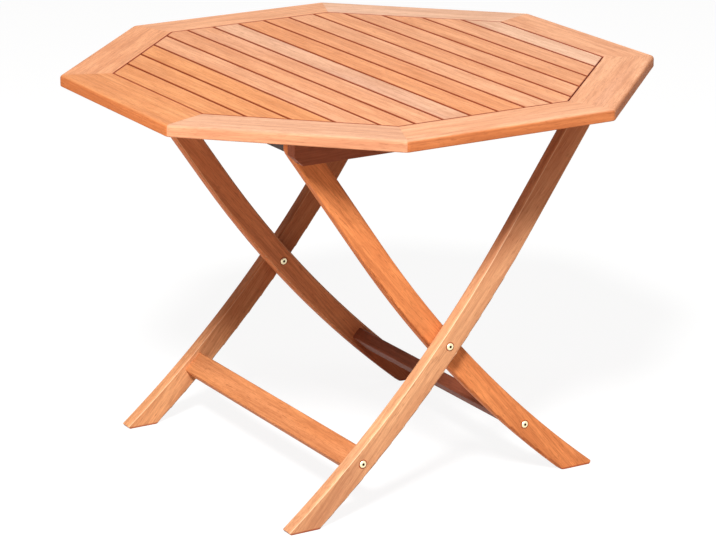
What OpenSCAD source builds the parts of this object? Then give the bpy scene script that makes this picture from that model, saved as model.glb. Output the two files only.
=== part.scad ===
// Folding octagonal garden table: a slatted hardwood top on two crossing leg frames.
// The origin is on the floor under the middle of the top, with +Z up.
// The slats run along Y, and the two battens under them run along X.
// The inner legs hinge on the battens. The outer legs end in notches under the battens.

/* [Top] */
// Width of the top across opposite sides
top_w = 1000; // [900:10:1200]
// Height of the top's upper face above the floor
top_h = 730; // [700:5:750]
// Thickness of the rails and slats
top_t = 21; // [19:1:26]
// Width of each rail of the surround
rail_w = 88; // [76:1:100]
// Rounding of the surround's upper outer arris
rail_arris = 6; // [3:0.5:7]
// Rounding of the surround's lower outer arris
rail_low_arris = 2.5; // [1:0.5:4]
// Rounding of the surround's corners, seen from above
rail_corner_r = 14; // [8:1:20]
// Number of slats
slat_count = 15; // [11:2:19]
// Gap between neighbouring slats
slat_gap = 4; // [2:0.5:5]
// Gap between the slats' ends and the rails
slat_end_gap = 1.6; // [0.5:0.1:2]
// Rounding of the slats' long arrises
slat_arris = 1.5; // [1:0.5:3]
// Length of the tongue at a slat's end
tongue_l = 5.2; // [4:0.2:6]
// Thickness of the tongue
tongue_t = 7; // [5:0.5:8]
// Diameter of the dowels in the mitres
dowel_d = 8; // [6:1:10]
// Length of the dowels in the mitres
dowel_l = 40; // [30:1:50]

/* [Battens] */
// Height of a batten
batten_h = 50; // [46:1:60]
// Distance from the hinge's middle to the batten's end
batten_end = 27.4; // [27:0.2:60]
// Bevel at a batten's lower ends
batten_bevel = 16; // [8:1:20]
// Depth of the notch that an outer leg's head seats in
notch_depth = 25; // [22:0.5:27]
// Slope of the notch's open side
notch_slope = 22.5; // [18:0.5:23]
// Clearance between a leg's head and its notch
seat_gap = 0.3; // [0.2:0.05:0.6]

/* [Legs] */
// Width of a leg seen from the side
leg_w = 45; // [40:1:48]
// Thickness of a leg and of a batten
leg_t = 24; // [20:1:28]
// Rounding of a leg's long arrises
leg_arris = 4; // [2:0.5:6]
// Radius of the leg's curve on its centre line
leg_r = 2230; // [1900:10:2800]
// Slope of a leg at the crossing, measured from the floor
leg_slope = 49.6; // [48:0.1:52]
// Height above the floor where the curve ends and the leg runs straight
bend_h = 476; // [430:1:520]
// Height of the crossing above the floor
cross_h = 290; // [270:1:310]
// Place of the crossing along X from the middle of the top
cross_x = -9.5; // [-20:0.5:10]
// Overhang of the top past the outer legs' outer faces
overhang = 176.5; // [165:0.5:190]
// Gap between legs that pass each other
leg_gap = 2; // [1.5:0.5:4]
// Length cut off a foot's tip
foot_bevel = 9; // [4:1:14]

/* [Crossbars] */
// Thickness of a crossbar
bar_t = 24; // [20:1:26]
// Width of a crossbar
bar_w = 45; // [40:1:46]
// Rounding of a crossbar's long arrises
bar_arris = 3; // [1:0.5:5]
// Height of the lower crossbars' middle above the floor
bar_low_h = 104; // [90:1:130]
// Width of the upper crossbars, between the legs' heads
head_bar_w = 30; // [24:1:34]
// Length of the stub tenon at a crossbar's end
tenon_l = 8; // [5:1:10]
// Shoulder left round a stub tenon
tenon_shoulder = 5; // [4:0.5:6]

/* [Hardware] */
// Drop of the hinge pins below the slats' lower face
hinge_drop = 27; // [27:0.5:29]
// Diameter of the hinge pins and of the sleeves at the crossing
bolt_d = 8; // [6:0.5:9]
// Reach of a hinge pin into a batten
pin_reach = 17; // [12:1:18]
// Diameter of the screws in the crossbars
bar_screw_d = 6; // [5:0.5:7]
// Diameter of the bolt heads
head_d = 13; // [11:0.5:16]
// Height of the bolt heads
head_t = 2.2; // [1.5:0.1:3]
// Width across the flats of the sockets in the heads
socket_w = 4; // [3:0.5:5]
// Diameter of the washers
washer_d = 20; // [16:1:24]
// Diameter of the batten screws
screw_d = 4; // [3:0.5:5]
// Length of the batten screws
screw_l = 36; // [32:1:38]
// Diameter of the batten screws' heads
screw_head_d = 8; // [7:0.5:9]
// Depth of the screw's recess in a batten
recess_depth = 28; // [24:1:32]

/* [Fits] */
// Radial clearance of a turning fit
run_clear = 0.08; // [0.05:0.01:0.1]
// Radial clearance of a fixed fit
fix_clear = 0.05; // [0.02:0.01:0.1]
// Clearance between faces that slide on each other
face_clear = 0.1; // [0.05:0.05:0.2]
// Glue line between mitred rails
glue_line = 0.1; // [0.05:0.05:0.3]

/* [Hidden] */
RAIL_NAMES = ["rail_right", "rail_rear_right", "rail_rear", "rail_rear_left",
              "rail_left", "rail_front_left", "rail_front", "rail_front_right"];

// Colours
wood = "#d98a55";
wood_pale = "#e5a273";
wood_dark = "#b5683a";
brass = "#c9b27a";
steel = "#b8b8b4";

// Facets of small rounds and of the long curve
round_fn = 32;
curve_fn = 720;
over = 1;

// Top
half_w = top_w / 2;
field_half = half_w - rail_w;
corner_angle = 22.5;
under = top_h - top_t;
slat_pitch = 2 * field_half / slat_count;
slat_w = slat_pitch - slat_gap;
groove_depth = tongue_l + 0.8;
groove_h = tongue_t + 0.6;
tongue_z = under + top_t / 2;
mitre_in = field_half / cos(corner_angle);
mitre_out = half_w / cos(corner_angle);
dowel_places = [mitre_in + (mitre_out - mitre_in) * 0.36, mitre_in + (mitre_out - mitre_in) * 0.7];

// Planes of the legs and battens
inner_y = half_w - overhang - leg_t - leg_gap;
outer_y0 = inner_y + leg_gap;
batten_mid = outer_y0 + leg_t / 2;
batten_low = under - batten_h;

// Centre line of a leg: u runs sideways from the crossing and v up from it
bend_v = bend_h - cross_h;
function heading(v) = acos(cos(leg_slope) - v / leg_r);
bend_a = heading(bend_v);
bend_u = leg_r * (sin(leg_slope) - sin(bend_a));
function axis_u(v) = v > bend_v ? bend_u - (v - bend_v) / tan(bend_a)
                                : leg_r * (sin(leg_slope) - sin(heading(v)));
function axis_a(v) = v > bend_v ? bend_a : heading(v);
foot_a = heading(-cross_h);
foot_tip_u = axis_u(-cross_h) + leg_w / 2 / sin(foot_a);

// Heads of the legs, and the crossbars
hinge_v = under - hinge_drop - cross_h;
head_v = batten_low + notch_depth - seat_gap - leg_w / 2 - cross_h;
bar_low_v = bar_low_h - cross_h;
hinge_x = cross_x + axis_u(hinge_v);
head_x = cross_x - axis_u(head_v);

// Fastener lengths and places
bar_screw_l = leg_t + 36;
pin_inner = 40;
sleeve_l = 2 * leg_t + leg_gap - 4;
pivot_bolt_l = leg_t + 10;
slat_screw_reach = field_half * sqrt(2) - batten_mid - slat_w / 2;
rail_screw_inset = groove_depth + screw_d / 2 + 0.6;
rail_screw_x = max(field_half * sqrt(2) - batten_mid + rail_screw_inset * sqrt(2),
                   -hinge_x + (bolt_d + screw_head_d) / 2 + 3.5);
batten_l = 2 * max(batten_end - hinge_x, rail_screw_x + 15);
slat_screw_x = [for (i = [0:slat_count - 1])
                let (x = (i - (slat_count - 1) / 2) * slat_pitch)
                if (abs(x) < slat_screw_reach) x];
batten_screw_x = concat([-rail_screw_x], slat_screw_x, [rail_screw_x]);

// A w by h bar section from the corner at the origin, with its left and right arrises rounded
module bar_section(w, h, left, right, low_right) {
    translate([left, 0]) square([w / 2 - left, h]);
    translate([0, left]) square([w / 2, h - 2 * left]);
    translate([w / 2, low_right]) square([w / 2, h - right - low_right]);
    translate([w / 2, 0]) square([w / 2 - low_right, h / 2]);
    translate([w / 2, h / 2]) square([w / 2 - right, h / 2]);
    for (y = [left, h - left]) translate([left, y]) circle(left, $fn = round_fn);
    translate([w - low_right, low_right]) circle(low_right, $fn = round_fn);
    translate([w - right, h - right]) circle(right, $fn = round_fn);
}

// The same section with its middle at the origin and all arrises alike
module centred_section(w, h, r) {
    translate([-w / 2, -h / 2]) bar_section(w, h, r, r, r);
}

module octagon(apothem, h) {
    rotate([0, 0, corner_angle]) cylinder(h = h, r = apothem / cos(corner_angle), $fn = 8);
}

// Mitre dowels, made clear larger all round for their holes
module dowels(corner, clear = 0, end = 0) {
    rotate([0, 0, 45 * corner + corner_angle])
        for (r = dowel_places)
            translate([r, 0, tongue_z]) rotate([90, 0, 0])
                cylinder(h = dowel_l + 2 * end, d = dowel_d + 2 * clear, center = true, $fn = round_fn);
}

// Section of a rail, with its outer edge at x = 0
module rail_section() {
    translate([-rail_w, 0]) bar_section(rail_w, top_t, 1, rail_arris, rail_low_arris);
}

// A straight rail whose outer edge turns round at each end, before its mitres are cut
module rail_blank() {
    run = (half_w - rail_corner_r) * tan(corner_angle);
    difference() {
        translate([half_w, half_w, 0]) rotate([90, 0, 0])
            linear_extrude(height = top_w) rail_section();
        for (side = [0, 1]) mirror([0, side, 0])
            translate([half_w - rail_corner_r, run, -over])
                cube([rail_corner_r + over, half_w, top_t + 2 * over]);
    }
    for (side = [0, 1]) mirror([0, side, 0])
        translate([half_w - rail_corner_r, run, 0]) rotate_extrude(angle = 45, $fn = round_fn)
            intersection() {
                translate([rail_corner_r, 0]) rail_section();
                square([rail_corner_r, top_t]);
            }
}

// One mitred rail, grooved on its inner edge
module rail(i) {
    tip = glue_line / 2 / sin(corner_angle);
    far = half_w * 1.2;
    color(i % 2 == 0 ? wood : wood_pale)
        difference() {
            rotate([0, 0, 45 * i]) intersection() {
                translate([0, 0, under]) rail_blank();
                translate([0, 0, under - over]) linear_extrude(height = top_t + 2 * over)
                    polygon([[tip, 0],
                             [far, (far - tip) * tan(corner_angle)],
                             [far, -(far - tip) * tan(corner_angle)]]);
            }
            translate([0, 0, tongue_z - groove_h / 2]) octagon(field_half + groove_depth, groove_h);
            for (corner = [i - 1, i]) dowels(corner, fix_clear, 1);
            batten_screw_holes();
        }
}

// One slat, tongued where it meets the surround
module slat(i) {
    x0 = -field_half + i * slat_pitch + slat_gap / 2;
    reach0 = i == 0 ? rail_w : 0;
    reach1 = i == slat_count - 1 ? rail_w : 0;
    color(i % 3 == 0 ? wood : i % 3 == 1 ? wood_pale : "#d08050")
        difference() {
            union() {
                intersection() {
                    translate([x0, field_half, under]) rotate([90, 0, 0])
                        linear_extrude(height = 2 * field_half)
                            bar_section(slat_w, top_t, slat_arris, slat_arris, slat_arris);
                    translate([0, 0, under - over])
                        octagon(field_half - slat_end_gap, top_t + 2 * over);
                }
                intersection() {
                    translate([x0 - reach0 + 1, -half_w, tongue_z - tongue_t / 2])
                        cube([slat_w + reach0 + reach1 - 2, top_w, tongue_t]);
                    translate([0, 0, under - over]) octagon(field_half + tongue_l, top_t + 2 * over);
                }
            }
            batten_screw_holes();
        }
}

// Screws that hold the battens to the slats and rails
module batten_screw_places() {
    for (side = [-1, 1]) for (x = batten_screw_x)
        translate([x, side * batten_mid, batten_low + recess_depth]) children();
}

module batten_screw_holes() {
    batten_screw_places()
        cylinder(h = screw_l + 1, d = screw_d + 2 * fix_clear, $fn = round_fn);
}

module batten_screws() {
    color(steel) batten_screw_places() difference() {
        union() {
            cylinder(h = screw_l, d = screw_d, $fn = round_fn);
            translate([0, 0, -2]) cylinder(h = 2, d = screw_head_d, $fn = round_fn);
        }
        translate([0, 0, -2 - over]) cylinder(h = 1 + over, d = screw_head_d / 3, $fn = 6);
    }
}

// Side view of the notch: a round seat, open below, with a tangent ramp that the head leaves by
module notch() {
    r = leg_w / 2 + seat_gap;
    seat_z = batten_low + notch_depth - r;
    rise = seat_z + r * cos(notch_slope) - batten_low + over;
    tangent_x = head_x - r * sin(notch_slope);
    translate([head_x, seat_z]) circle(r, $fn = 96);
    translate([head_x, batten_low - over]) square([r, seat_z - batten_low + over]);
    polygon([[head_x, seat_z], [tangent_x, batten_low - over + rise],
             [tangent_x - rise / tan(notch_slope), batten_low - over],
             [head_x, batten_low - over]]);
}

// One batten: bevelled ends, a notch for the outer leg's head, and its bores
module batten(side) {
    color(wood_dark) difference() {
        translate([0, side * batten_mid + leg_t / 2, 0]) rotate([90, 0, 0])
            linear_extrude(height = leg_t) difference() {
                polygon([[-batten_l / 2, under], [-batten_l / 2, batten_low + batten_bevel],
                         [-batten_l / 2 + batten_bevel, batten_low],
                         [batten_l / 2 - batten_bevel, batten_low],
                         [batten_l / 2, batten_low + batten_bevel], [batten_l / 2, under]]);
                notch();
            }
        batten_screw_holes();
        batten_screw_places() translate([0, 0, -recess_depth - over])
            cylinder(h = recess_depth + over, d = screw_head_d + 1, $fn = round_fn);
        translate([hinge_x, side * outer_y0, under - hinge_drop]) rotate([side < 0 ? 90 : -90, 0, 0])
            translate([0, 0, -over])
                cylinder(h = pin_reach + 1 + over, d = bolt_d + 2 * run_clear, $fn = round_fn);
    }
}

// A leg's side view runs down to the right from the crossing at the origin.
// It is drawn upright from the place where the curve ends: curve below, straight part and head above.
module leg_blank(top_v) {
    run = (top_v - bend_v) / sin(bend_a);
    end_a = heading(-cross_h - leg_w);
    translate([bend_u, bend_v, 0]) rotate([0, 0, 90 - bend_a]) {
        translate([leg_r, 0, 0]) rotate([0, 0, 180])
            rotate_extrude(angle = bend_a - end_a, $fn = curve_fn)
                translate([leg_r, 0]) centred_section(leg_w, leg_t, leg_arris);
        rotate([-90, 0, 0]) linear_extrude(height = run)
            centred_section(leg_w, leg_t, leg_arris);
        translate([0, run, 0]) rotate_extrude(angle = 180, $fn = 64) intersection() {
            centred_section(leg_w, leg_t, leg_arris);
            translate([0, -leg_t]) square([leg_w, 2 * leg_t]);
        }
    }
}

// Everything that a crossbar's end needs in a leg: the mortise and the screw's bore
module bar_socket(v, w, screw) {
    translate([axis_u(v), v, 0]) {
        if (screw > 0)
            cylinder(h = 2 * leg_t, d = screw + 2 * fix_clear, center = true, $fn = round_fn);
        translate([0, 0, -leg_t / 2 - over]) rotate([0, 0, 90 - axis_a(v)])
            linear_extrude(height = tenon_l + over + face_clear)
                square([bar_t - 2 * tenon_shoulder + 2 * fix_clear,
                        w - 2 * tenon_shoulder + 2 * fix_clear], center = true);
    }
}

// A leg with its foot cut to the floor. Its inner face, towards the crossbars, is at -leg_t / 2.
module leg(top_v, bars, cross_clear) {
    difference() {
        leg_blank(top_v);
        translate([-half_w, -cross_h - 2 * leg_w, -leg_t])
            cube([top_w, 2 * leg_w, 2 * leg_t]);
        translate([foot_tip_u, -cross_h, -leg_t]) rotate([0, 0, -foot_a])
            translate([-foot_bevel, -leg_w]) cube([2 * leg_w, 2 * leg_w, 2 * leg_t]);
        cylinder(h = 2 * leg_t, d = bolt_d + 2 * cross_clear, center = true, $fn = round_fn);
        for (bar = bars) bar_socket(bar[0], bar[1], bar[2]);
    }
}

// Places what is drawn in a leg's side view: hand 1 leans like the inner legs, -1 like the outer
module in_side_view(hand) {
    translate([cross_x, 0, cross_h]) scale_mirror(hand) rotate([90, 0, 0]) children();
}

module scale_mirror(hand) {
    if (hand > 0) children();
    else mirror([1, 0, 0]) children();
}

// Puts a leg at the front or the rear with its mortises facing the middle
module leg_place(hand, side, face) {
    mid = face + leg_t / 2;
    translate([0, side * mid, 0]) in_side_view(hand) mirror([0, 0, side > 0 ? 0 : 1])
        mirror([0, 0, 1]) children();
}

// Height on the leg, width and bore of each crossbar. The bar between the heads is glued alone.
inner_bars = [[hinge_v, head_bar_w, bolt_d], [bar_low_v, bar_w, bar_screw_d]];
outer_bars = [[head_v, head_bar_w, 0], [bar_low_v, bar_w, bar_screw_d]];

module inner_leg(side) {
    color(side < 0 ? wood : wood_dark)
        leg_place(1, side, inner_y - leg_t) leg(hinge_v, inner_bars, fix_clear);
}

module outer_leg(side) {
    color(side < 0 ? wood_pale : wood_dark)
        leg_place(-1, side, outer_y0) leg(head_v, outer_bars, run_clear);
}

// A crossbar between faces at -reach and reach, in line with the legs at the bar's height
module crossbar(bar, reach) {
    v = bar[0];
    w = bar[1];
    translate([axis_u(v), v, 0]) rotate([0, 0, 90 - axis_a(v)]) difference() {
        union() {
            linear_extrude(height = 2 * reach, center = true)
                centred_section(bar_t, w, bar_arris);
            linear_extrude(height = 2 * (reach + tenon_l), center = true)
                square([bar_t - 2 * tenon_shoulder, w - 2 * tenon_shoulder], center = true);
        }
        if (bar[2] > 0)
            for (side = [-1, 1]) translate([0, 0, side * (reach + tenon_l)])
                cylinder(h = 2 * (pin_inner + 10), d = bar[2] + 2 * fix_clear, center = true,
                         $fn = round_fn);
    }
}

module inner_top_crossbar() {
    color(wood_dark) in_side_view(1) crossbar(inner_bars[0], inner_y - leg_t);
}

module inner_low_crossbar() {
    color(wood_dark) in_side_view(1) crossbar(inner_bars[1], inner_y - leg_t);
}

module outer_top_crossbar() {
    color(wood_dark) in_side_view(-1) crossbar(outer_bars[0], outer_y0);
}

module outer_low_crossbar() {
    color(wood) in_side_view(-1) crossbar(outer_bars[1], outer_y0);
}

// A round-headed bolt along -Z from its head's seat at the origin
module bolt(d, l) {
    difference() {
        union() {
            translate([0, 0, -l]) cylinder(h = l, d = d, $fn = round_fn);
            head();
        }
        socket();
    }
}

module head() {
    rotate_extrude($fn = 48) polygon([[0, 0], [head_d / 2, 0], [head_d / 2, head_t * 0.45],
                                      [head_d / 2 - head_t * 0.55, head_t], [0, head_t]]);
}

module socket() {
    translate([0, 0, head_t * 0.35])
        cylinder(h = head_t, d = socket_w / cos(30), $fn = 6);
}

// Both ends of a leg pair: draws along the outward normal at the front and the rear
module at_both_sides(hand, v, face) {
    for (side = [-1, 1])
        translate([cross_x + hand * axis_u(v), side * face, cross_h + v])
            rotate([side < 0 ? 90 : -90, 0, 0]) children();
}

// Pins from the inner top crossbar through the legs into blind bores in the battens
module hinge_pins() {
    color(steel) at_both_sides(1, hinge_v, inner_y - leg_t - pin_inner)
        cylinder(h = pin_inner + leg_t + leg_gap + pin_reach, d = bolt_d, $fn = round_fn);
}

module hinge_washers() {
    color(steel) at_both_sides(1, hinge_v, inner_y) washer();
}

module washer() {
    difference() {
        cylinder(h = leg_gap - face_clear, d = washer_d, $fn = round_fn);
        translate([0, 0, -over])
            cylinder(h = leg_gap + 2 * over, d = bolt_d + 2 * fix_clear, $fn = round_fn);
    }
}

module pivot_washers() {
    color(steel) at_both_sides(1, 0, inner_y) washer();
}

// Threaded sleeve from the inner leg's inner face, which both legs of a pair turn on
module pivot_sleeves() {
    inner_face = inner_y - leg_t;
    color(brass) at_both_sides(1, 0, inner_face) difference() {
        union() {
            cylinder(h = sleeve_l, d = bolt_d, $fn = round_fn);
            mirror([0, 0, 1]) head();
        }
        translate([0, 0, sleeve_l - pivot_bolt_l])
            cylinder(h = pivot_bolt_l + over, d = bolt_d * 0.6 + 2 * fix_clear, $fn = round_fn);
        mirror([0, 0, 1]) socket();
    }
}

module pivot_bolts() {
    color(brass) at_both_sides(1, 0, outer_y0 + leg_t + face_clear)
        bolt(bolt_d * 0.6, pivot_bolt_l);
}

module inner_crossbar_screws() {
    color(brass) at_both_sides(1, bar_low_v, inner_y) bolt(bar_screw_d, bar_screw_l);
}

module outer_crossbar_screws() {
    color(brass) at_both_sides(-1, bar_low_v, outer_y0 + leg_t) bolt(bar_screw_d, bar_screw_l);
}

module mitre_dowels() {
    color(wood_pale) for (corner = [0:7]) dowels(corner);
}

for (i = [0:7]) rail(i);
for (i = [1:slat_count]) slat(i - 1);
batten(-1);  // batten_front
batten(1);  // batten_rear
mitre_dowels();
batten_screws();
inner_leg(-1);  // inner_leg_front
inner_leg(1);  // inner_leg_rear
inner_top_crossbar();
inner_low_crossbar();
hinge_pins();
hinge_washers();
pivot_sleeves();
pivot_bolts();
pivot_washers();
inner_crossbar_screws();
outer_leg(-1);  // outer_leg_front
outer_leg(1);  // outer_leg_rear
outer_top_crossbar();
outer_low_crossbar();
outer_crossbar_screws();
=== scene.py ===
"""Looks of the folding octagonal garden table: oiled hardwood boards and small brassed bolts."""

import math
import random

import bpy
from mathutils import Matrix, Vector

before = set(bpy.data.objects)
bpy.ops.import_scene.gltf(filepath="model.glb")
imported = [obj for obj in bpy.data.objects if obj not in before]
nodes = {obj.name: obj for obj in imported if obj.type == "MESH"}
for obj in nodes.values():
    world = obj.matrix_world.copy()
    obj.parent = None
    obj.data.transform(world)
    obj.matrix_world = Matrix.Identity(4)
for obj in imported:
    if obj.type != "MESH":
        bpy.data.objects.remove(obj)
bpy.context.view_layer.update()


# Shader maths

class Value:
    """A socket's output that can be written in a plain expression."""

    def __init__(self, finish, socket):
        self.finish = finish
        self.socket = socket

    def _maths(self, operation, first, second):
        return self.finish.node("ShaderNodeMath", {"operation": operation}, {0: first, 1: second})

    def __add__(self, other):
        return self._maths("ADD", self, other)

    def __radd__(self, other):
        return self._maths("ADD", other, self)

    def __sub__(self, other):
        return self._maths("SUBTRACT", self, other)

    def __rsub__(self, other):
        return self._maths("SUBTRACT", other, self)

    def __mul__(self, other):
        return self._maths("MULTIPLY", self, other)

    def __rmul__(self, other):
        return self._maths("MULTIPLY", other, self)

    def __pow__(self, other):
        return self._maths("POWER", self, other)


class Finish:
    """A material, or the studio's surroundings, under construction."""

    def __init__(self, block):
        self.block = block
        block.use_nodes = True
        self.tree = block.node_tree
        self.tree.nodes.clear()

    def node(self, kind, settings=None, inputs=None, outputs=(0,)):
        """Adds one node, its settings first, then the values or links of its sockets.

        Returns the one output that outputs names, or a list where it names none or several.
        """
        made = self.tree.nodes.new(kind)
        for key, value in (settings or {}).items():
            setattr(made, key, value)
        for key, value in (inputs or {}).items():
            if isinstance(value, Value):
                self.tree.links.new(value.socket, made.inputs[key])
            else:
                made.inputs[key].default_value = value
        values = [Value(self, made.outputs[output]) for output in outputs]
        return values[0] if len(values) == 1 else values

    def place(self):
        """The Object coordinates: where a point of the piece is, in metres, as one vector."""
        return self.node("ShaderNodeTexCoord", outputs=("Object",))

    def xyz(self, vector):
        """The three parts of a vector."""
        return self.node("ShaderNodeSeparateXYZ", None, {"Vector": vector}, ("X", "Y", "Z"))

    def ramp(self, value, low, high):
        """Rises smoothly from 0 at low to 1 at high."""
        return self.node("ShaderNodeMapRange", {"interpolation_type": "SMOOTHSTEP"},
                         {"Value": value, "From Min": low, "From Max": high})

    def mix(self, factor, first, second, blend="MIX"):
        """Mixes two colours."""
        return self.node("ShaderNodeMix", {"data_type": "RGBA", "blend_type": blend},
                         {0: factor, 6: first, 7: second}, outputs=(2,))

    def surface(self, **sockets):
        """Ends in one Principled shader and returns the finished material."""
        names = {key: key.replace("_", " ").title().replace("Ior", "IOR") for key in sockets}
        shader = self.node("ShaderNodeBsdfPrincipled", None,
                           {names[key]: value for key, value in sockets.items()})
        self.node("ShaderNodeOutputMaterial", None, {"Surface": shader}, ())
        return self.block

    def shown_white(self):
        """1 for what is seen, straight or in metal or glass, and 0 for what lights the table."""
        camera, glossy, through = self.node("ShaderNodeLightPath", outputs=(
            "Is Camera Ray", "Is Glossy Ray", "Is Transmission Ray"))
        return camera + glossy + through


def rgb(red, green, blue):
    """A linear colour from the 0 to 255 values that a screen shows."""
    def linear(value):
        value /= 255
        return value / 12.92 if value <= 0.04045 else ((value + 0.055) / 1.055) ** 2.4
    return (linear(red), linear(green), linear(blue), 1.0)


# Hardwood

# Height of the top, and how far its rim, the rails' inner flanks and the slats' cut ends are
# from the middle, in metres
TOP_FACE = 0.730
RIM = 0.500
RAIL_FLANK = 0.412
SLAT_END = 0.4104

# A quarter and an eighth of a turn, and how steeply the legs' grain slopes from level
QUARTER = math.pi / 2
EIGHTH = math.pi / 4
LEG_SLOPE = math.radians(49.6)

# Share of the screen colour that is the wood's own, the rest being the light on it
OWN = 0.77

# Painted highlight on an arris, tint of painted shade on a rail's outer edge, and the dark tone of
# painted shade, also of a leg's sole and of the rings round its bolts
ARRIS_HIGHLIGHT_TINT = (0.94, 0.66, 0.42, 1.0)
EDGE_SHADE_TINT = (0.80, 0.54, 0.33, 1.0)
SHADED = rgb(138, 52, 20)

# How dark the painted shade in the gaps between boards is. A slat is that dark up to EDGE_DARK from
# its edge, and light from EDGE_LIGHT inwards, or from END_LIGHT where it meets a rail with its end
GAP_SHADE = 0.88
EDGE_DARK = 0.0002
EDGE_LIGHT = 0.0024
END_LIGHT = 0.0022


def shade(colour, factor, warm=0.0):
    """The same wood a little lighter or darker, and a little redder where warm is over 0."""
    red, green, blue, _ = colour
    return (red * factor, green * factor * (1 - warm), blue * factor * (1 - 1.4 * warm), 1.0)


def hardwood(name, turn, colour, figure=1.0, dark=None, rim_shade=None, arris_highlight=None):
    """Oiled hardwood whose grain runs along X once the Object coordinates are turned by turn.

    colour is the board's mean colour on a screen and figure how strongly it is marked. The last
    three are functions of the wood and its place, whose values count as 1 from there upwards:
    dark gives painted shade in gaps, under the top and near a foot, and the darkening of a
    leg's sole and round its bolts; flank gives painted shade on a rail's outer edge, and worn a
    painted highlight on a leg's arrises.
    """
    rng = random.Random(name)
    shift = tuple(rng.uniform(-3, 3) for _ in range(3))
    wood = Finish(bpy.data.materials.new(name + "_wood"))
    place = wood.place()
    turned = wood.node("ShaderNodeVectorRotate", {"rotation_type": "EULER_XYZ"},
                       {"Vector": place, "Rotation": turn})
    board = wood.node("ShaderNodeVectorMath", {"operation": "ADD"}, {0: turned, 1: shift})

    def grain(along, across, detail, rough, bend=0.0):
        """Noise that changes that many times in a metre along the grain and across it."""
        stretched = wood.node("ShaderNodeVectorMath", {"operation": "MULTIPLY"},
                              {0: board, 1: (along, across, across)})
        return wood.node("ShaderNodeTexNoise", None,
                         {"Vector": stretched, "Scale": 1.0, "Detail": detail,
                          "Roughness": rough, "Distortion": bend})

    mottle = wood.ramp(grain(5.0, 34.0, detail=3.0, rough=0.55, bend=0.5), 0.34, 0.66)
    blush = wood.ramp(grain(2.6, 12.0, detail=1.0, rough=0.5, bend=0.4), 0.52, 0.70)
    bands = wood.ramp(grain(3.5, 130.0, detail=3.0, rough=0.6, bend=0.3), 0.42, 0.70)
    fibres = wood.ramp(grain(24.0, 560.0, detail=3.0, rough=0.65), 0.36, 0.72)
    pores = wood.ramp(grain(75.0, 1150.0, detail=1.0, rough=0.5), 0.60, 0.72)
    flecks = wood.ramp(grain(48.0, 330.0, detail=2.0, rough=0.6), 0.57, 0.74)

    own = shade(rgb(*colour), OWN)
    red, green, blue, _ = own
    rose = (red, green * 1.06, blue * 1.22, 1.0)
    tint = wood.mix(mottle, shade(own, 1 - 0.07 * figure, warm=0.04 * figure),
                    shade(own, 1 + 0.07 * figure, warm=-0.02 * figure))
    tint = wood.mix(blush * 0.5, tint, rose)
    tint = wood.mix(bands * (0.38 * figure), tint, shade(own, 0.62, warm=0.14))
    tint = wood.mix(fibres * (0.32 * figure), tint, shade(own, 0.60, warm=0.14))
    tint = wood.mix(flecks * (0.44 * figure), tint, shade(own, 0.58, warm=0.12))
    tint = wood.mix(pores * 0.34, tint, shade(own, 0.34, warm=0.24))
    # Painted shade on outer edges, painted highlight on arrises, then painted shade and other
    # darkening
    if rim_shade:
        tint = wood.mix(rim_shade(wood, place), tint, EDGE_SHADE_TINT, "MULTIPLY")
    if arris_highlight:
        tint = wood.mix(arris_highlight(wood, place), tint, ARRIS_HIGHLIGHT_TINT)
    if dark:
        tint = wood.mix(dark(wood, place), tint, SHADED)
    gloss = 0.60 + 0.14 * fibres - 0.05 * mottle
    height = 0.45 * fibres + 0.35 * bands - 0.9 * pores
    relief = wood.node("ShaderNodeBump", None,
                       {"Height": height, "Strength": 0.25, "Distance": 0.0004})
    return wood.surface(base_color=tint, roughness=gloss, normal=relief, ior=1.46,
                        specular_ior_level=0.2)


def finish_node(name, material):
    """Puts a material on a CAD node."""
    for slot in nodes[name].material_slots:
        slot.material = material


def span_of(name, axis):
    """The lowest and highest value of a CAD node along one axis."""
    values = [corner[axis] for corner in nodes[name].bound_box]
    return min(values), max(values)


def distance(finish, place, x, z):
    """How far a point is from the bolt at (x, z), which runs from front to back."""
    place_x, _, place_z = finish.xyz(place)
    return ((place_x - x) ** 2.0 + (place_z - z) ** 2.0) ** 0.5


def reach_towards(wood, place, angle):
    """How far a point is from the table's middle, along the direction of that angle."""
    x, y, _ = wood.xyz(place)
    return x * math.cos(angle) + y * math.sin(angle)


def slat_shade(left, right):
    """Paints shade on a slat below its top face and near its edges: x = left, x = right and the
    octagon.
    """
    def dark(wood, place):
        x, y, z = wood.xyz(place)
        light = wood.ramp(z, TOP_FACE - 0.0016, TOP_FACE - 0.0004)
        for inside in (x - left, right - x):
            light = light * wood.ramp(inside, EDGE_DARK, EDGE_LIGHT)
        for reach in (x, y, (x + y) * math.cos(EIGHTH), (x - y) * math.cos(EIGHTH)):
            # Nearly SLAT_END less the reach, and the same on both sides of the middle
            inside = (SLAT_END ** 2 - reach * reach) * (0.5 / SLAT_END)
            light = light * wood.ramp(inside, EDGE_DARK, END_LIGHT)
        return GAP_SHADE - GAP_SHADE * light
    return dark


def rail_shade(angle, width):
    """Paints shade on a rail's inner flank, where the slats end, and on a width of the top beside
    it.
    """
    def dark(wood, place):
        reach = reach_towards(wood, place, angle)
        return GAP_SHADE * wood.ramp(RAIL_FLANK + width - reach, 0.0, 0.0009)
    return dark


def painted_rim_shade(angle, share):
    """Paints shade on the outer edge of a rail, from where its rounding begins to fall away."""
    def rim_shade(wood, place):
        drop = TOP_FACE - wood.xyz(place)[2]
        reach = reach_towards(wood, place, angle)
        rim = wood.ramp(reach, RIM - 0.005, RIM - 0.001)
        return rim * wood.ramp(drop, 0.0003, 0.0040) * share
    return rim_shade


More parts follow.
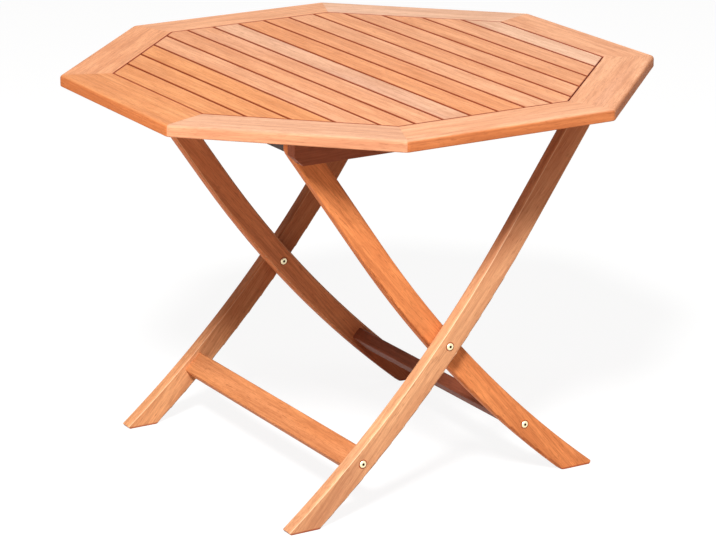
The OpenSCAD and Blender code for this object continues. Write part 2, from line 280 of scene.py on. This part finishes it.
def leg_shade(bolts, top_shadow, height, foot_shade):
    """Darkens a leg's sole, and a thin ring round each bolt head, at (x, z).

    unbleached is the strength of the top's painted shadow on it, from that height upwards, and
    damp that of the painted shade near the foot.
    """
    sole = 0.0045
    foot_shade_height = 0.16
    ring = 0.0090

    def dark(wood, place):
        z = wood.xyz(place)[2]
        total = 0.75 * wood.ramp(sole - z, 0.0, 0.0035)
        # Painted shadow of the top on the leg's upper part
        if top_shadow:
            total = top_shadow * wood.ramp(z - height, 0.0, 0.22) + total
        # Painted shade near the foot
        if foot_shade:
            total = foot_shade * wood.ramp(foot_shade_height - z, 0.0, 0.10) + total
        for bolt in bolts:
            total = 0.9 * wood.ramp(ring - distance(wood, place, *bolt), 0.0, 0.0014) + total
        return total
    return dark


def painted_arris_highlight(low, high, amount):
    """Paints a highlight on the rounded arrises beside a leg's broad faces, which are y = low and y
    = high.

    depth is how far a point of the arris lies behind the nearer face.
    """
    first = 0.00003
    last = 0.00076

    def arris_highlight(wood, place):
        y = wood.xyz(place)[1]
        depth = (y - low) * (high - y) * (1 / (high - low))
        strip = wood.ramp(depth, first, 0.00013) * wood.ramp(last - depth, 0.0, 0.00047)
        return strip * amount
    return arris_highlight


# Tones of the boards in the top, as a screen shows them
AMBER = (242, 163, 105)
COPPER = (245, 167, 115)
HONEY = (246, 173, 125)
STRAW = (248, 179, 134)
CREAM = (251, 184, 140)
ROSE = (243, 185, 148)
BLOND = (251, 201, 167)

# The slats from the left of the top to its right
SLAT_TONES = [AMBER, AMBER, AMBER, STRAW, HONEY, STRAW, ROSE, COPPER, COPPER, CREAM, HONEY, STRAW,
              HONEY, STRAW, BLOND]
for number, tone in enumerate(SLAT_TONES, start=1):
    name = f"slat_{number}"
    finish_node(name, hardwood(name, (0, 0, -QUARTER), tone, figure=1.25,
                               dark=slat_shade(*span_of(name, 0))))

# The rails anticlockwise from the right, an eighth of a turn apart: the tone, how strong the
# painted shade on the outer edge is, and how wide the line of painted shade at the slats is
SIDE_LINE = 0.0030
END_LINE = 0.0018
RAILS = [("rail_right", CREAM, 0.62, SIDE_LINE),
         ("rail_rear_right", BLOND, 0.62, END_LINE),
         ("rail_rear", CREAM, 0.62, END_LINE),
         ("rail_rear_left", HONEY, 0.62, END_LINE),
         ("rail_left", AMBER, 0.70, SIDE_LINE),
         ("rail_front_left", ROSE, 0.45, END_LINE),
         ("rail_front", CREAM, 1.0, END_LINE),
         ("rail_front_right", CREAM, 0.62, END_LINE)]
for index, (name, tone, rim_shade_share, line) in enumerate(RAILS):
    angle = index * EIGHTH
    finish_node(name, hardwood(name, (0, 0, -QUARTER - angle), tone, figure=1.3,
                               dark=rail_shade(angle, line), rim_shade=painted_rim_shade(angle, rim_shade_share)))


def axis_of(name):
    """Where the bolts of a CAD node are, seen from the front: x and z in metres."""
    return tuple(sum(span_of(name, axis)) / 2 for axis in (0, 2))


def finish_leg(name, slope, colour, bolts, top_shadow=0.0, height=0.0, foot_shade=0.0, arris_highlight=0.0):
    """Finishes a leg, whose grain slopes by that angle from level, down towards the right.

    The bolts and the three values after them are those of leg_shade, and worn is how strong the
    painted highlight on the arrises is.
    """
    arris = painted_arris_highlight(*span_of(name, 1), arris_highlight) if arris_highlight else None
    finish_node(name, hardwood(name, (0, -slope, 0), colour, figure=1.7,
                               dark=leg_shade(bolts, top_shadow, height, foot_shade), arris_highlight=arris))


PIVOT = axis_of("pivot_bolts")
OUTER_SCREW = axis_of("outer_crossbar_screws")
INNER_SCREW = axis_of("inner_crossbar_screws")

# Each leg: its tone, painted shadow of the top, painted shade near the foot and painted arris
# highlight
finish_leg("inner_leg_front", LEG_SLOPE, (253, 161, 98), [PIVOT, INNER_SCREW])
finish_leg("inner_leg_rear", LEG_SLOPE, (255, 168, 115), [PIVOT, INNER_SCREW], foot_shade=0.75, arris_highlight=0.5)
finish_leg("outer_leg_front", -LEG_SLOPE, (251, 189, 140), [PIVOT, OUTER_SCREW],
           top_shadow=0.45, height=0.32, foot_shade=0.12, arris_highlight=0.8)
finish_leg("outer_leg_rear", -LEG_SLOPE, (253, 185, 131), [PIVOT, OUTER_SCREW],
           top_shadow=0.50, height=0.04, arris_highlight=0.6)

# Tones of the crossbars; painted shade darkens those between the inner legs, the top one most
CROSSBARS = {"inner_top_crossbar": (60, 34, 24),
             "inner_low_crossbar": (150, 84, 58),
             "outer_top_crossbar": (232, 150, 100),
             "outer_low_crossbar": (236, 155, 98)}
for name, colour in CROSSBARS.items():
    finish_node(name, hardwood(name, (0, 0, -QUARTER), colour, figure=1.6))

# The battens' tone is darkened with painted shade, as they sit under the top
for name in ("batten_front", "batten_rear"):
    finish_node(name, hardwood(name, (0, 0, 0), (168, 98, 68), figure=1.6))

finish_node("mitre_dowels", hardwood("mitre_dowels", (0, 0, 0), (236, 170, 120)))


# Metal

def metal(name, colour, rough, sockets=()):
    """Plated steel, with painted shade in the hexagon sockets at (x, z) in metres."""
    made = Finish(bpy.data.materials.new(name))
    place = made.place()
    mottle = made.node("ShaderNodeTexNoise", None,
                       {"Vector": place, "Scale": 420.0, "Detail": 3.0, "Roughness": 0.6})
    tint = made.mix(mottle, shade(colour, 0.9), shade(colour, 1.08))
    if sockets:
        half_width = 0.0028
        socket_shade = 0.0
        for socket in sockets:
            socket_shade = made.ramp(half_width - distance(made, place, *socket), 0.0, 0.0006) + socket_shade
        # Painted shade in the sockets
        tint = made.mix(socket_shade, tint, rgb(70, 40, 22))
    return made.surface(base_color=tint, metallic=0.85, roughness=rough + 0.12 * mottle)


brass = metal("brassed_steel", rgb(250, 240, 200), rough=0.42,
              sockets=[PIVOT, OUTER_SCREW, INNER_SCREW])
zinc = metal("zinc_steel", rgb(196, 196, 192), rough=0.3)
for name in ("hinge_pins", "pivot_sleeves", "pivot_bolts", "inner_crossbar_screws",
             "outer_crossbar_screws"):
    finish_node(name, brass)
for name in ("hinge_washers", "pivot_washers", "batten_screws"):
    finish_node(name, zinc)


# Studio

# The middle of the table, round which the lamps are placed
MIDDLE = (0, 0, 0.5)

# White paper on the floor: what is seen of it is mostly its own light, and the rest shows the
# table's shadow
bpy.ops.object.select_all(action="DESELECT")
bpy.ops.mesh.primitive_plane_add(size=60, location=(0, 0, -0.0005))
floor = bpy.context.object
floor.name = "floor"
paper = Finish(bpy.data.materials.new("floor_paper"))
dull = paper.node("ShaderNodeBsdfDiffuse", None, {"Color": rgb(200, 178, 162)})
matte = paper.node("ShaderNodeBsdfDiffuse", None, {"Color": rgb(250, 250, 250)})
glow = paper.node("ShaderNodeEmission", None, {"Color": (1, 1, 1, 1), "Strength": 1.06})
bright = paper.node("ShaderNodeMixShader", None, {0: 0.84, 1: matte, 2: glow})
sheet = paper.node("ShaderNodeMixShader", None, {0: paper.shown_white(), 1: dull, 2: bright})
paper.node("ShaderNodeOutputMaterial", None, {"Surface": sheet}, ())
floor.data.materials.append(paper.block)

bpy.context.scene.world = bpy.data.worlds.new("studio")
studio = Finish(bpy.context.scene.world)
lit = studio.node("ShaderNodeBackground", None, {"Color": (1.0, 0.86, 0.76, 1), "Strength": 0.10})
seen = studio.node("ShaderNodeBackground", None, {"Color": (1, 1, 1, 1), "Strength": 1.0})
around = studio.node("ShaderNodeMixShader", None, {0: studio.shown_white(), 1: lit, 2: seen})
studio.node("ShaderNodeOutputWorld", None, {"Surface": around}, ())


def lamp(name, place, target, size, power, colour=(1, 1, 1)):
    """Adds a round lamp, its size in metres and its power in watts, aimed at the target."""
    data = bpy.data.lights.new(name, "AREA")
    data.shape = "DISK"
    data.size = size
    data.energy = power
    data.color = colour
    made = bpy.data.objects.new(name, data)
    bpy.context.scene.collection.objects.link(made)
    aim = Vector(target) - Vector(place)
    turn = aim.to_track_quat("-Z", "Y").to_matrix().to_4x4()
    made.matrix_world = Matrix.Translation(place) @ turn


def placed(azimuth, elevation, reach):
    """The point that far from the table's middle, at an azimuth and elevation in degrees."""
    az, el = math.radians(azimuth), math.radians(elevation)
    return (reach * math.cos(az) * math.cos(el), reach * math.sin(az) * math.cos(el),
            MIDDLE[2] + reach * math.sin(el))


lamp("key", placed(-130, 44, 8.0), target=MIDDLE, size=1.5, power=930)
lamp("left", placed(186, 6, 4.5), target=(0, 0, 0.3), size=1.4, power=41, colour=(1.0, 0.85, 0.75))
lamp("front", placed(-80, 34, 4.5), target=MIDDLE, size=1.6, power=27)
lamp("overhead", placed(60, 76, 4.0), target=(0.2, 0.3, 0.7), size=1.8, power=30)

# The photograph's viewing angle
camera_data = bpy.data.cameras.new("camera")
camera_data.sensor_width = 36.0
camera_data.lens = 155.0
camera_data.clip_end = 100.0
camera = bpy.data.objects.new("camera", camera_data)
bpy.context.scene.collection.objects.link(camera)
view = Vector((0.4863, 0.8224, -0.2953)).normalized()
turn = view.to_track_quat("-Z", "Y").to_matrix().to_4x4()
camera.matrix_world = Matrix.Translation((-2.7605, -4.6585, 2.017)) @ turn
bpy.context.scene.camera = camera
bpy.context.scene.view_settings.view_transform = "Standard"
